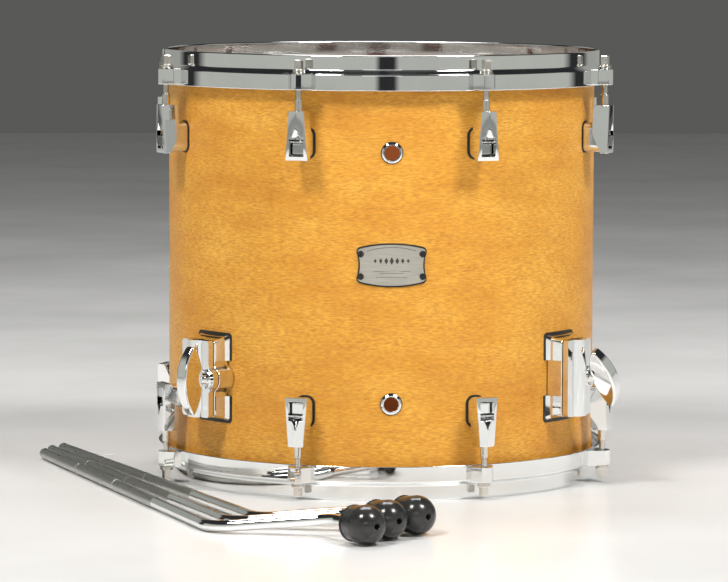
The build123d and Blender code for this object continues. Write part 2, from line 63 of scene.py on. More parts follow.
# ------------------------------------------------------------------ camera
# The drum is looked at from a little above its middle and slightly left of the badge,
# through a long lens that keeps its sides upright.
camera_turn = radians(2.503)
camera_pitch = radians(5.28)
camera_roll = radians(0.195)
camera_data = bpy.data.cameras.new("camera")
camera_data.sensor_width = 36.0
camera_data.lens = 203.47
camera_data.clip_start = 0.1
camera_data.clip_end = 60.0
camera = bpy.data.objects.new("camera", camera_data)
camera.matrix_world = (
    Matrix.Translation((-0.1873, -3.9145, 0.535))
    @ Matrix.Rotation(-camera_turn, 4, "Z")
    @ Matrix.Rotation(pi / 2 - camera_pitch, 4, "X")
    @ Matrix.Rotation(camera_roll, 4, "Z")
)
bpy.context.scene.collection.objects.link(camera)
bpy.context.scene.camera = camera
bpy.context.scene.view_settings.view_transform = "Standard"

# ------------------------------------------------------------------ floor and light
# A smooth pale tabletop and soft studio light: a soft box high on each side in front, a
# weak one straight ahead and one above, in a dim room that gives the chrome dark bands.


def link(obj):
    """Puts an object into the scene and returns it."""
    bpy.context.scene.collection.objects.link(obj)
    return obj


def new_material(name):
    """A node material; returns it, its node tree and its Principled BSDF."""
    material = bpy.data.materials.new(name)
    material.use_nodes = True
    tree = material.node_tree
    return material, tree, tree.nodes["Principled BSDF"]


def add_node(tree, kind, **settings):
    """A shader node with its properties and constant inputs set."""
    node = tree.nodes.new(kind)
    for key, value in settings.items():
        if key.startswith("in_"):
            socket = key[3:]
            node.inputs[int(socket) if socket.isdigit() else socket].default_value = value
        else:
            setattr(node, key, value)
    return node


def math_node(tree, operation, first, second=None, clamp=False):
    """A Math node fed by sockets or numbers; returns its output."""
    node = add_node(tree, "ShaderNodeMath", operation=operation, use_clamp=clamp)
    for index, value in enumerate((first, second)):
        if isinstance(value, (int, float)):
            node.inputs[index].default_value = value
        elif value is not None:
            tree.links.new(value, node.inputs[index])
    return node.outputs[0]


def ramp_node(tree, source, stops):
    """A colour ramp on a socket; returns its colour output."""
    node = tree.nodes.new("ShaderNodeValToRGB")
    elements = node.color_ramp.elements
    while len(elements) < len(stops):
        elements.new(0.5)
    for element, (position, colour) in zip(elements, stops):
        element.position = position
        element.color = (*colour, 1.0) if len(colour) == 3 else colour
    tree.links.new(source, node.inputs[0])
    return node.outputs[0]


def remap(tree, source, low, high, to_low, to_high):
    """A Map Range node on a socket; returns its output."""
    node = add_node(tree, "ShaderNodeMapRange")
    tree.links.new(source, node.inputs[0])
    for index, value in enumerate((low, high, to_low, to_high)):
        node.inputs[index + 1].default_value = value
    return node.outputs[0]


def mix_colour(tree, factor, first, second, blend="MIX"):
    """A colour Mix node; returns its colour output."""
    node = add_node(tree, "ShaderNodeMix", data_type="RGBA", blend_type=blend)
    for index, value in ((0, factor), (6, first), (7, second)):
        if isinstance(value, (int, float)):
            node.inputs[index].default_value = value
        elif isinstance(value, tuple):
            node.inputs[index].default_value = (*value, 1.0)
        else:
            tree.links.new(value, node.inputs[index])
    return node.outputs[2]


def grey(value):
    """A grey as a colour."""
    return (value, value, value)


floor_half = 6.0
floor_mesh = bpy.data.meshes.new("floor")
floor_mesh.from_pydata(
    [
        (-floor_half, -floor_half, 0),
        (floor_half, -floor_half, 0),
        (floor_half, floor_half, 0),
        (-floor_half, floor_half, 0),
    ],
    [],
    [(0, 1, 2, 3)],
)
floor = link(bpy.data.objects.new("floor", floor_mesh))
floor_paint, tree, shader = new_material("pale_tabletop")
floor_cloud = add_node(tree, "ShaderNodeTexNoise", in_Scale=3.0, in_Detail=3.0)
place = add_node(tree, "ShaderNodeTexCoord")
tree.links.new(place.outputs["Object"], floor_cloud.inputs["Vector"])
tree.links.new(
    ramp_node(tree, floor_cloud.outputs[0], [(0.3, grey(0.80)), (0.7, grey(0.84))]),
    shader.inputs["Base Color"],
)
tree.links.new(
    remap(tree, floor_cloud.outputs[0], 0.3, 0.7, 0.20, 0.28), shader.inputs["Roughness"]
)
floor.data.materials.append(floor_paint)


def soft_box(name, place, target, size, power, colour=(1, 1, 1)):
    """A rectangular soft box that points at a target."""
    data = bpy.data.lights.new(name, "AREA")
    data.shape = "RECTANGLE"
    data.size, data.size_y = size
    data.energy = power
    data.color = colour
    lamp = link(bpy.data.objects.new(name, data))
    lamp.location = place
    lamp.rotation_euler = (Vector(target) - Vector(place)).to_track_quat("-Z", "Y").to_euler()
    return lamp


soft_box("key_left", (-1.35, -1.75, 2.7), (0, 0, 0.2), (0.7, 0.7), 72, (1.0, 0.97, 0.92))
soft_box("key_right", (1.5, -1.55, 2.6), (0, 0, 0.2), (0.7, 0.7), 76, (1.0, 0.98, 0.95))
soft_box("front_fill", (-0.2, -4.6, 1.5), (0, 0, 0.2), (1.6, 0.5), 8)
soft_box("top_box", (0.0, 0.9, 2.6), (0, 0, 0.2), (1.6, 0.8), 40)

# the dim room: two long pale screens stand left and right, with narrow dark gaps between
world = bpy.data.worlds.new("studio")
bpy.context.scene.world = world
world.use_nodes = True
tree = world.node_tree
room = tree.nodes["Background"]
direction = add_node(tree, "ShaderNodeTexCoord")
split = add_node(tree, "ShaderNodeSeparateXYZ")
tree.links.new(direction.outputs["Generated"], split.inputs[0])
bearing = math_node(tree, "ARCTAN2", math_node(tree, "ABSOLUTE", split.outputs[0]),
                    math_node(tree, "MULTIPLY", split.outputs[1], -1.0))
screen_across = ramp_node(
    tree,
    math_node(tree, "DIVIDE", bearing, pi),
    [(0.02, grey(0.0)), (0.035, grey(1.0)), (0.60, grey(1.0)), (0.64, grey(0.0)),
     (0.72, grey(0.0)), (0.76, grey(0.7)), (0.92, grey(0.7)), (0.95, grey(0.15))],
)
screen_up = ramp_node(
    tree,
    split.outputs[2],
    [(0.0, grey(1.0)), (0.36, grey(1.0)), (0.46, grey(0.0)), (0.9, grey(0.0)), (1.0, grey(0.3))],
)
screens = math_node(tree, "MULTIPLY", screen_across, screen_up)
tree.links.new(
    mix_colour(tree, screens, (0.028, 0.028, 0.030), (0.50, 0.51, 0.47)), room.inputs[0]
)
room.inputs[1].default_value = 1.0

# ------------------------------------------------------------------ shell
# The shell is rolled from maple plies, stained honey amber and lacquered to a satin
# gloss. Its grain runs around the drum as short flecks; inside it is bare and redder.

shell_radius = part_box("shell")[1].x


def around_drum(tree):
    """Object coordinates unrolled around the drum: along the wall, height and radius."""
    place = add_node(tree, "ShaderNodeTexCoord")
    split = add_node(tree, "ShaderNodeSeparateXYZ")
    tree.links.new(place.outputs["Object"], split.inputs[0])
    x, y, z = split.outputs
    angle = math_node(tree, "ARCTAN2", x, math_node(tree, "MULTIPLY", y, -1.0))
    along = math_node(tree, "MULTIPLY", angle, shell_radius)
    square = math_node(
        tree, "ADD", math_node(tree, "MULTIPLY", x, x), math_node(tree, "MULTIPLY", y, y)
    )
    radius = math_node(tree, "SQRT", square)
    return along, z, radius


def streaks(tree, along, height, stretch_along, stretch_up, detail, offset=0.0):
    """Noise drawn out along the grain; returns its value."""
    join = add_node(tree, "ShaderNodeCombineXYZ", in_2=offset)
    tree.links.new(math_node(tree, "MULTIPLY", along, stretch_along), join.inputs[0])
    tree.links.new(math_node(tree, "MULTIPLY", height, stretch_up), join.inputs[1])
    noise = add_node(
        tree, "ShaderNodeTexNoise", in_Scale=1.0, in_Detail=detail, in_Roughness=0.6
    )
    tree.links.new(join.outputs[0], noise.inputs["Vector"])
    return noise.outputs[0]


amber, tree, shader = new_material("amber_maple")
along, height, radius = around_drum(tree)
# the grain wanders a little up and down
wander = streaks(tree, along, height, 9.0, 14.0, 2.0, 3.7)
height_bent = math_node(
    tree, "ADD", height, math_node(tree, "MULTIPLY", wander, 0.012)
)
cloud = streaks(tree, along, height_bent, 9.0, 16.0, 5.0)
bands = streaks(tree, along, height_bent, 12.0, 60.0, 4.0, 1.3)
fibres = streaks(tree, along, height_bent, 160.0, 700.0, 4.0, 2.1)
flecks = streaks(tree, along, height_bent, 190.0, 1000.0, 2.0, 5.5)
fleck_field = streaks(tree, along, height_bent, 30.0, 60.0, 2.0, 8.2)
stain = ramp_node(
    tree,
    cloud,
    [(0.3, (0.60, 0.25, 0.030)), (0.5, (0.75, 0.365, 0.048)), (0.7, (0.88, 0.49, 0.085))],
)
stain = mix_colour(
    tree, remap(tree, bands, 0.35, 0.7, 0.0, 0.45), stain, (0.89, 0.50, 0.09)
)
stain = mix_colour(
    tree, remap(tree, fibres, 0.38, 0.62, 0.55, 0.0), stain, (0.50, 0.18, 0.03)
)
fleck_mask = math_node(
    tree,
    "MULTIPLY",
    remap(tree, flecks, 0.50, 0.68, 0.0, 1.0),
    remap(tree, fleck_field, 0.36, 0.64, 0.1, 0.5),
    clamp=True,
)
stain = mix_colour(tree, fleck_mask, stain, (0.36, 0.12, 0.028))
inside = math_node(tree, "LESS_THAN", radius, shell_radius - 0.0008)
wood_colour = mix_colour(tree, inside, stain, (0.36, 0.105, 0.03))
tree.links.new(wood_colour, shader.inputs["Base Color"])
lacquer = remap(tree, fibres, 0.3, 0.7, 0.34, 0.46)
tree.links.new(lacquer, shader.inputs["Roughness"])
coat = remap(tree, inside, 0.0, 1.0, 0.10, 0.0)
tree.links.new(coat, shader.inputs["Coat Weight"])
shader.inputs["Coat Roughness"].default_value = 0.16
shader.inputs["Specular IOR Level"].default_value = 0.16
wood_bump = add_node(tree, "ShaderNodeBump", in_Strength=0.12, in_Distance=0.0002)
tree.links.new(fibres, wood_bump.inputs["Height"])
tree.links.new(wood_bump.outputs[0], shader.inputs["Normal"])


def paint(name, material):
    """Gives a CAD piece its material."""
    slots = nodes[name].data.materials
    slots.clear()
    slots.append(material)


paint("shell", amber)

# ------------------------------------------------------------------ chrome
# Bright plated castings: hoops, lugs, hooks, brackets, jaws, wing bolts and grommets.
# The plate is near mirror smooth, with a faint haze where it was wiped.


def haze_group():
    """Node group: uneven gloss of a wiped surface, as a roughness value."""
    group = bpy.data.node_groups.new("wiped_haze", "ShaderNodeTree")
    group.interface.new_socket("Scale", in_out="INPUT", socket_type="NodeSocketFloat")
    group.interface.new_socket("Low", in_out="INPUT", socket_type="NodeSocketFloat")
    group.interface.new_socket("High", in_out="INPUT", socket_type="NodeSocketFloat")
    group.interface.new_socket("Gloss", in_out="OUTPUT", socket_type="NodeSocketFloat")
    inputs = group.nodes.new("NodeGroupInput")
    output = group.nodes.new("NodeGroupOutput")
    place = group.nodes.new("ShaderNodeTexCoord")
    noise = add_node(group, "ShaderNodeTexNoise", in_Detail=5.0, in_Roughness=0.65)
    group.links.new(place.outputs["Object"], noise.inputs["Vector"])
    group.links.new(inputs.outputs["Scale"], noise.inputs["Scale"])
    spread = add_node(group, "ShaderNodeMapRange")
    group.links.new(noise.outputs[0], spread.inputs[0])
    spread.inputs[1].default_value = 0.3
    spread.inputs[2].default_value = 0.7
    group.links.new(inputs.outputs["Low"], spread.inputs[3])
    group.links.new(inputs.outputs["High"], spread.inputs[4])
    group.links.new(spread.outputs[0], output.inputs["Gloss"])
    return group


wiped_haze = haze_group()


def add_haze(tree, scale, low, high):
    """Places the haze group with its values; returns its output."""
    node = tree.nodes.new("ShaderNodeGroup")
    node.node_tree = wiped_haze
    node.inputs["Scale"].default_value = scale
    node.inputs["Low"].default_value = low
    node.inputs["High"].default_value = high
    return node.outputs[0]


def plated(name, tint, scale, low, high):
    """A polished metal with uneven gloss and a slightly uneven tint."""
    material, tree, shader = new_material(name)
    shader.inputs["Metallic"].default_value = 1.0
    gloss = add_haze(tree, scale, low, high)
    tree.links.new(gloss, shader.inputs["Roughness"])
    darker = tuple(c * 0.93 for c in tint)
    tree.links.new(
        mix_colour(tree, remap(tree, gloss, low, high, 0.0, 1.0), tint, darker),
        shader.inputs["Base Color"],
    )
    return material


chrome = plated("bright_chrome", (0.84, 0.85, 0.85), 18.0, 0.02, 0.06)
sides = ("left", "right", "rear")
for side in sides:
    paint(f"leg_bracket_{side}", chrome)
    paint(f"bracket_jaw_{side}", chrome)
    paint(f"wing_bolt_{side}", chrome)
for name in ("batter_lug_hooks", "resonant_lug_hooks", "vent_grommet_upper",
             "vent_grommet_lower"):
    paint(name, chrome)

# ------------------------------------------------------------------ hoops
# Die-cast chrome hoops with a tall plain band, a rounded shoulder and a set-back rim.
# Each has eight keel-shaped ears that the tension rods pull on.

mm = 0.001
drum_height = 405.0
rod_circle = 221.5
rod_turns = [radians(22.5 + 45 * number) for number in range(8)]


def rounded(points, radii, steps=6):
    """A closed outline with its corners rounded by arcs."""
    result = []
    count = len(points)
    for index, radius in enumerate(radii):
        here = Vector(points[index])
        if radius == 0:
            result.append(here)
            continue
        before = (Vector(points[index - 1]) - here).normalized()
        after = (Vector(points[(index + 1) % count]) - here).normalized()
        half = before.angle(after) / 2
        reach = radius / tan(half)
        centre = here + (before + after).normalized() * (radius / sin(half))
        first, last = here + before * reach - centre, here + after * reach - centre
        sweep = first.angle_signed(last) if len(first) == 2 else first.angle(last)
        for step in range(steps + 1):
            angle = -sweep * step / steps
            turned = Vector((
                first.x * cos(angle) - first.y * sin(angle),
                first.x * sin(angle) + first.y * cos(angle),
            ))
            result.append(centre + turned)
    return result


def mesh_object(name, mesh, body, material, sharp=35):
    """A finished piece: smooth shaded, painted and its body."""
    mesh.normal_update()
    data = bpy.data.meshes.new(name)
    mesh.to_mesh(data)
    mesh.free()
    data.shade_smooth()
    data.set_sharp_from_angle(angle=radians(sharp))
    data.materials.append(material)
    piece = link(bpy.data.objects.new(name, data))
    flat = piece.modifiers.new("flat_faces", "WEIGHTED_NORMAL")
    flat.keep_sharp = True
    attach(piece, body)
    return piece


def lathe(mesh, profile, segments, place=Matrix.Identity(4), flip=False):
    """Adds a turned solid to a mesh: a closed (radius, height) profile around Z, in mm."""
    rings = []
    for segment in range(segments):
        angle = 2 * pi * segment / segments
        rings.append([
            mesh.verts.new(place @ Vector((r * cos(angle) * mm, r * sin(angle) * mm, z * mm)))
            for r, z in profile
        ])
    count = len(profile)
    for segment in range(segments):
        ring, other = rings[segment], rings[(segment + 1) % segments]
        for index in range(count):
            follow = (index + 1) % count
            corners = [ring[index], other[index], other[follow], ring[follow]]
            mesh.faces.new(corners[::-1] if flip else corners)


def stack(mesh, outline, levels, place=Matrix.Identity(4), flip=False):
    """Adds an upright solid: an outline in mm, inset and lifted by each (height, inset)."""
    count = len(outline)
    normals = []
    for index, point in enumerate(outline):
        along = (outline[(index + 1) % count] - outline[index - 1]).normalized()
        normals.append(Vector((along.y, -along.x)))
    rings = []
    for height, inset in levels:
        rings.append([
            mesh.verts.new(place @ (Vector((*(point - normal * inset), height)) * mm))
            for point, normal in zip(outline, normals)
        ])
    for low, high in zip(rings, rings[1:]):
        for index in range(count):
            follow = (index + 1) % count
            corners = [low[index], low[follow], high[follow], high[index]]
            mesh.faces.new(corners[::-1] if flip else corners)
    bottom, top = rings[0][::-1], rings[-1]
    mesh.faces.new(bottom[::-1] if flip else bottom)
    mesh.faces.new(top[::-1] if flip else top)


to_other_end = Matrix.Translation((0, 0, drum_height * mm)) @ Matrix.Scale(-1, 4, (0, 0, 1))
ends = (("batter", Matrix.Identity(4), False), ("resonant", to_other_end, True))

hoop_profile = rounded(
    [(212.4, 373), (212.4, 387.8), (207, 391.2), (207, 405), (204.2, 405), (204.2, 386),
     (209, 386), (209, 373)],
    [0.7, 2.2, 2.2, 1.2, 1.2, 0.3, 0.3, 0.7],
)
ear_outline = rounded(
    [(209.6, -13.5), (218.5, -11.3), (227.2, -5.6), (229.4, 0), (227.2, 5.6), (218.5, 11.3),
     (209.6, 13.5)],
    [0, 3.0, 3.4, 0.7, 3.4, 3.0, 0],
)
ear_levels = [(374, 0.6), (374.2, 0.2), (374.7, 0), (387.6, 0), (388.3, 0.25), (388.6, 0.9)]
for end, place, flip in ends:
    mesh = bmesh.new()
    lathe(mesh, hoop_profile, 384, place, flip)
    for turn in rod_turns:
        stack(mesh, ear_outline, ear_levels, place @ Matrix.Rotation(turn, 4, "Z"), flip)
    hoop = mesh_object(f"{end}_hoop_casting", mesh, "root", chrome)
    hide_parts(f"{end}_hoop")

# ------------------------------------------------------------------ lugs
# Chrome lugs that hang on hooks: a tapering block with a keeled front and a window,
# through which the tongue of the hook shows. The swivel nut sits in its narrow end.

lug_low, lug_high = 310.2, 355.0
lug_bow_radius = 330.0
lug_bow_height = 353.6
lug_half_low, lug_half_high = 10.7, 7.3
lug_knee = 328.5
lug_ridge = 229.8
lug_keel_slope = 0.243


def lug_front(height):
    """How far the bowed front of a lug stands out, in mm."""
    return 229.6 - (height - lug_bow_height) ** 2 / (2 * lug_bow_radius)


def lug_mesh():
    """One lug at turn 0, cut by its window and with softened edges."""
    mesh = bmesh.new()
    rings = []
    steps = 20
    for step in range(steps + 1):
        share = step / steps
        height = lug_low + (lug_high - lug_low) * share
        half = lug_half_low + (lug_half_high - lug_half_low) * share
        front = lug_front(height)
        if height < lug_knee:
            back = 220.4 + (211.8 - 220.4) * (height - lug_low) / (lug_knee - lug_low)
        else:
            back = 211.8 + (212.6 - 211.8) * (height - lug_knee) / (lug_high - lug_knee)
        flat = max(min((lug_ridge - front) / lug_keel_slope, half - 0.3), 0.15)
        side_front = min(front, lug_ridge - lug_keel_slope * half)
        section = [
            (back, -half), (side_front, -half), (front, -flat), (front, flat),
            (side_front, half), (back, half),
        ]
        rings.append([mesh.verts.new((x * mm, y * mm, height * mm)) for x, y in section])
    for low, high in zip(rings, rings[1:]):
        for index in range(6):
            follow = (index + 1) % 6
            mesh.faces.new([low[index], low[follow], high[follow], high[index]])
    mesh.faces.new(rings[0][::-1])
    mesh.faces.new(rings[-1])
    data = bpy.data.meshes.new("lug_blank")
    mesh.to_mesh(data)
    mesh.free()
    blank = link(bpy.data.objects.new("lug_blank", data))
    cutters = []
    # the window, and the flared mouth that leads into it from the narrow end
    window = bmesh.new()
    stack(window, rounded([(195, -6.9), (235, -6.9), (235, 6.9), (195, 6.9)],
                          [0, 0, 0, 0]), [(314, 0), (331, 0)])
    cutters.append(window)
    scoop = bmesh.new()
    apex = scoop.verts.new((Vector((230.4, 0, 341.0))) * mm)
    corners = [scoop.verts.new(Vector(c) * mm) for c in
               ((231.5, -7.2, 329.5), (224.2, 0, 329.5), (231.5, 7.2, 329.5))]
    for pair in ((0, 1), (1, 2), (2, 0)):
        scoop.faces.new((corners[pair[0]], corners[pair[1]], apex))
    scoop.faces.new(corners[::-1])
    bmesh.ops.recalc_face_normals(scoop, faces=scoop.faces[:])
    cutters.append(scoop)
    bore = bmesh.new()
    lathe(bore, [(0.01, 340), (3.95, 340), (3.95, 360), (0.01, 360)], 32,
          Matrix.Translation((rod_circle * mm, 0, 0)))
    bmesh.ops.remove_doubles(bore, verts=bore.verts[:], dist=2e-5)
    cutters.append(bore)
    for index, cutter in enumerate(cutters):
        data = bpy.data.meshes.new(f"lug_cutter_{index}")
        cutter.to_mesh(data)
        cutter.free()
        tool = link(bpy.data.objects.new(f"lug_cutter_{index}", data))
        cut = blank.modifiers.new(f"cut_{index}", "BOOLEAN")
        cut.operation = "DIFFERENCE"
        cut.solver = "EXACT"
        cut.object = tool
    soft = blank.modifiers.new("soft", "BEVEL")
    soft.width = 0.55 * mm
    soft.segments = 3
    soft.limit_method = "ANGLE"
    soft.angle_limit = radians(28)
    soft.use_clamp_overlap = True
    bpy.context.view_layer.update()
    depsgraph = bpy.context.evaluated_depsgraph_get()
    finished = bmesh.new()
    finished.from_mesh(bpy.data.meshes.new_from_object(blank.evaluated_get(depsgraph)))
    for item in [blank] + [o for o in bpy.data.objects if o.name.startswith("lug_cutter")]:
        bpy.data.objects.remove(item)
    return finished


def add_copy(target, source, place, flip):
    """Adds a transformed copy of one mesh to another."""
    copies = {v: target.verts.new(place @ v.co) for v in source.verts}
    for face in source.faces:
        corners = [copies[v] for v in face.verts]
        target.faces.new(corners[::-1] if flip else corners)


one_lug = lug_mesh()
for end, place, flip in ends:
    mesh = bmesh.new()
    for turn in rod_turns:
        add_copy(mesh, one_lug, place @ Matrix.Rotation(turn, 4, "Z"), flip)
    lugs = mesh_object(f"{end}_lug_castings", mesh, "root", chrome, 30)
    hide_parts(f"{end}_lugs")
one_lug.free()

# ------------------------------------------------------------------ rods and fasteners
# Steel tension rods with square key heads and rolled threads, nickel swivel nuts and
# zinc plated washers and screws.

nickel = plated("nickel_steel", (0.74, 0.71, 0.66), 60.0, 0.12, 0.26)
zinc = plated("zinc_steel", (0.66, 0.66, 0.64), 60.0, 0.22, 0.38)
thread_steel = plated("thread_steel", (0.22, 0.215, 0.20), 90.0, 0.35, 0.50)
for name in ("lug_screws", "lug_screw_washers", "bracket_screws", "bracket_washers"):
    paint(name, zinc)

nut_profile = rounded(
    [(2.9, 341.5), (3.65, 341.5), (3.65, 365.5), (2.9, 365.5)], [0, 0.3, 0.6, 0.1], 4
)
washer_profile = rounded(
    [(3.1, 388.65), (6.1, 388.65), (6.1, 390.1), (3.1, 390.1)], [0, 0.5, 0.5, 0.2], 4
)
thread_pitch = 0.8
thread_low, thread_high = 363.0, 375.0


def thread_mesh(place, flip):
    """The rolled thread of a rod where it shows, between nut and hoop."""
    mesh = bmesh.new()
    around = 24
    rows = int((thread_high - thread_low) / thread_pitch * 6)
    rings = []
    for row in range(rows + 1):
        height = thread_low + (thread_high - thread_low) * row / rows
        ring = []
        for step in range(around):
            share = step / around
            phase = (height / thread_pitch - share) % 1.0
            radius = 2.42 + 0.34 * (1 - abs(2 * phase - 1))
            angle = 2 * pi * share
            spot = Vector((rod_circle + radius * cos(angle), radius * sin(angle), height))
            ring.append(mesh.verts.new(place @ (spot * mm)))
        rings.append(ring)
    for low, high in zip(rings, rings[1:]):
        for step in range(around):
            follow = (step + 1) % around
            corners = [low[step], low[follow], high[follow], high[step]]
            mesh.faces.new(corners[::-1] if flip else corners)
    mesh.faces.new(rings[0] if flip else rings[0][::-1])
    mesh.faces.new(rings[-1][::-1] if flip else rings[-1])
    return mesh


for end, place, flip in ends:
    nuts, washers = bmesh.new(), bmesh.new()
    for number, turn in enumerate(rod_turns, 1):
        turned = place @ Matrix.Rotation(turn, 4, "Z")
        shifted = turned @ Matrix.Translation((rod_circle * mm, 0, 0))
        lathe(nuts, nut_profile, 40, shifted, flip)
        lathe(washers, washer_profile, 40, shifted, flip)
        rod = f"{end}_tension_rod_{number}"
        paint(rod, nickel)
        mesh_object(f"{end}_rod_thread_{number}", thread_mesh(turned, flip), rod,
                    thread_steel, 80)
    piece = mesh_object(f"{end}_turned_nuts", nuts, "root", nickel)
    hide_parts(f"{end}_swivel_nuts")
    piece = mesh_object(f"{end}_turned_washers", washers, "root", nickel)
    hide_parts(f"{end}_rod_washers")

# ------------------------------------------------------------------ heads
# Clear polyester film, tucked over the bearing edge and held in an aluminium flesh ring. It is
# nearly invisible from above and mirrors the rim at a low angle, helped there by a painted
# reflection: a dark brown colour that turns opaque at a low angle.

film, tree, shader = new_material("clear_film")
# painted reflection: the film's dark brown colour shows more as the film turns opaque at a low
# angle, standing in for the brown shell inside mirrored in it
facing = add_node(tree, "ShaderNodeLayerWeight", in_Blend=0.25)
tree.links.new(
    remap(tree, facing.outputs["Facing"], 0.2, 1.0, 0.10, 0.85), shader.inputs["Alpha"]
)
shader.inputs["Base Color"].default_value = (0.20, 0.15, 0.12, 1)
shader.inputs["IOR"].default_value = 1.6
tree.links.new(add_haze(tree, 9.0, 0.02, 0.06), shader.inputs["Roughness"])
paint("batter_head", film)
paint("resonant_head", film)
aluminium = plated("rolled_aluminium", (0.77, 0.77, 0.78), 40.0, 0.25, 0.4)
paint("batter_head_ring", aluminium)
paint("resonant_head_ring", aluminium)

# ------------------------------------------------------------------ gaskets
# Thin black rubber pads between the shell and its fittings.

rubber, tree, shader = new_material("black_rubber")
grain = add_node(tree, "ShaderNodeTexNoise", in_Scale=900.0, in_Detail=2.0)
place = add_node(tree, "ShaderNodeTexCoord")
tree.links.new(place.outputs["Object"], grain.inputs["Vector"])
tree.links.new(
    ramp_node(tree, grain.outputs[0], [(0.3, grey(0.008)), (0.7, grey(0.016))]),
    shader.inputs["Base Color"],
)
tree.links.new(add_haze(tree, 30.0, 0.40, 0.55), shader.inputs["Roughness"])
rubber_bump = add_node(tree, "ShaderNodeBump", in_Strength=0.15, in_Distance=0.0001)
tree.links.new(grain.outputs[0], rubber_bump.inputs["Height"])
tree.links.new(rubber_bump.outputs[0], shader.inputs["Normal"])
for name in ("lug_gaskets", "bracket_gaskets", "badge_gasket", "vent_gaskets"):
    paint(name, rubber)

# ------------------------------------------------------------------ badge
# A curved brushed silver plate with a black border, four black cross-head screws and
# fine dark engraving: a row of lozenges, two rules and a dotted arc.

badge_silver, tree, shader = new_material("brushed_badge")
shader.inputs["Metallic"].default_value = 1.0
place = add_node(tree, "ShaderNodeTexCoord")
brushing = add_node(tree, "ShaderNodeMapping", in_Scale=(60.0, 60.0, 2600.0))
tree.links.new(place.outputs["Object"], brushing.inputs[0])
brush = add_node(tree, "ShaderNodeTexNoise", in_Scale=1.0, in_Detail=3.0)
tree.links.new(brushing.outputs[0], brush.inputs["Vector"])
tree.links.new(
    ramp_node(tree, brush.outputs[0], [(0.3, (0.46, 0.44, 0.39)), (0.7, (0.62, 0.60, 0.54))]),
    shader.inputs["Base Color"],
)
tree.links.new(remap(tree, brush.outputs[0], 0.3, 0.7, 0.36, 0.50), shader.inputs["Roughness"])
paint("badge_plate", badge_silver)

black_screw, tree, shader = new_material("black_screw_paint")
shader.inputs["Base Color"].default_value = (0.014, 0.014, 0.015, 1)
tree.links.new(add_haze(tree, 200.0, 0.22, 0.36), shader.inputs["Roughness"])
paint("badge_screws", black_screw)

ink, tree, shader = new_material("engraving_black")
shader.inputs["Base Color"].default_value = (0.045, 0.035, 0.03, 1)
tree.links.new(add_haze(tree, 300.0, 0.45, 0.6), shader.inputs["Roughness"])
badge_height = 215.0
badge_face = 204.05


def engraved(mesh, outline):
    """Adds a thin dark patch to the badge; its outline is in mm from the badge's centre."""
    def on_plate(x, z, lift):
        lean = x / badge_face
        radius = badge_face + lift
        return Vector((radius * sin(lean), -radius * cos(lean), badge_height + z)) * mm
    top = [mesh.verts.new(on_plate(x, z, 0.04)) for x, z in outline]
    low = [mesh.verts.new(on_plate(x, z, -0.3)) for x, z in outline]
    mesh.faces.new(top)
    count = len(outline)
    for index in range(count):
        follow = (index + 1) % count
        mesh.faces.new([low[index], low[follow], top[follow], top[index]])


mesh = bmesh.new()
for index in range(-3, 4):
    half_high = 3.6 - 0.55 * abs(index)
    half_wide = 1.9 - 0.18 * abs(index)
    centre = index * 5.0
    engraved(mesh, [(centre - half_wide, 4.0), (centre, 4.0 - half_high),
                    (centre + half_wide, 4.0), (centre, 4.0 + half_high)])
for rule, half_wide in ((-5.6, 17.0), (-7.4, 11.0)):
    segments = 12
    lower = [(-half_wide + 2 * half_wide * k / segments, rule - 0.16) for k in range(segments + 1)]
    upper = [(x, rule + 0.16) for x, z in reversed(lower)]
    engraved(mesh, lower + upper)
for index in range(-14, 15):
    x = index * 1.55
    z = 16.3 - x * x / 150
    engraved(mesh, [(x - 0.42, z - 0.45), (x + 0.42, z - 0.45), (x + 0.42, z + 0.45),
                    (x - 0.42, z + 0.45)])
for index in range(-8, 9):
    x = index * 1.7
    engraved(mesh, [(x - 0.4, -11.4), (x + 0.4, -11.4), (x + 0.4, -10.7), (x - 0.4, -10.7)])
mesh_object("badge_engraving", mesh, "root", ink)

# ------------------------------------------------------------------ legs
# Three chrome plated steel legs, knurled over their upper part with two ring grooves,
# then smooth and bent twice. They lie side by side on the floor.

knurl_chrome, tree, shader = new_material("knurled_chrome")
shader.inputs["Metallic"].default_value = 1.0
place = add_node(tree, "ShaderNodeUVMap", uv_map="along_around")
split = add_node(tree, "ShaderNodeSeparateXYZ")
tree.links.new(place.outputs[0], split.inputs[0])
along, around_leg = split.outputs[0], split.outputs[1]
ridges = []
for sign in (1.0, -1.0):
    slanted = math_node(tree, "ADD", along, math_node(tree, "MULTIPLY", around_leg, sign))
    ridges.append(math_node(tree, "PINGPONG", slanted, 0.5))
diamonds = math_node(tree, "MINIMUM", ridges[0], ridges[1])
worn = add_node(tree, "ShaderNodeTexNoise", in_Scale=40.0, in_Detail=4.0)
knurl_bump = add_node(tree, "ShaderNodeBump", in_Strength=0.6, in_Distance=0.0003)
tree.links.new(diamonds, knurl_bump.inputs["Height"])
tree.links.new(knurl_bump.outputs[0], shader.inputs["Normal"])
# painted shade: the base colour is darker in the grooves between the diamonds, where shade falls
tree.links.new(
    mix_colour(tree, remap(tree, diamonds, 0.0, 0.25, 0.0, 1.0), (0.34, 0.34, 0.32),
               (0.66, 0.67, 0.64)),
    shader.inputs["Base Color"],
)
tree.links.new(remap(tree, worn.outputs[0], 0.3, 0.7, 0.26, 0.40), shader.inputs["Roughness"])

leg_radius = 5.25
leg_straight = 512.0
leg_knee, leg_tip = (568.0, 90.0), (620.0, 103.0)
leg_bends = (34.0, 30.0)
knurl_end = 358.0
leg_grooves = (119.0, 238.0)
foot_radius = 17.3
foot_rise = (foot_radius - leg_radius) / leg_tip[1]
leg_places = {
    "front": ((-324.6, 89.6), 18.06),
    "middle": ((-318.1, 113.0), 19.46),
    "back": ((-307.5, 129.6), 21.06),
}


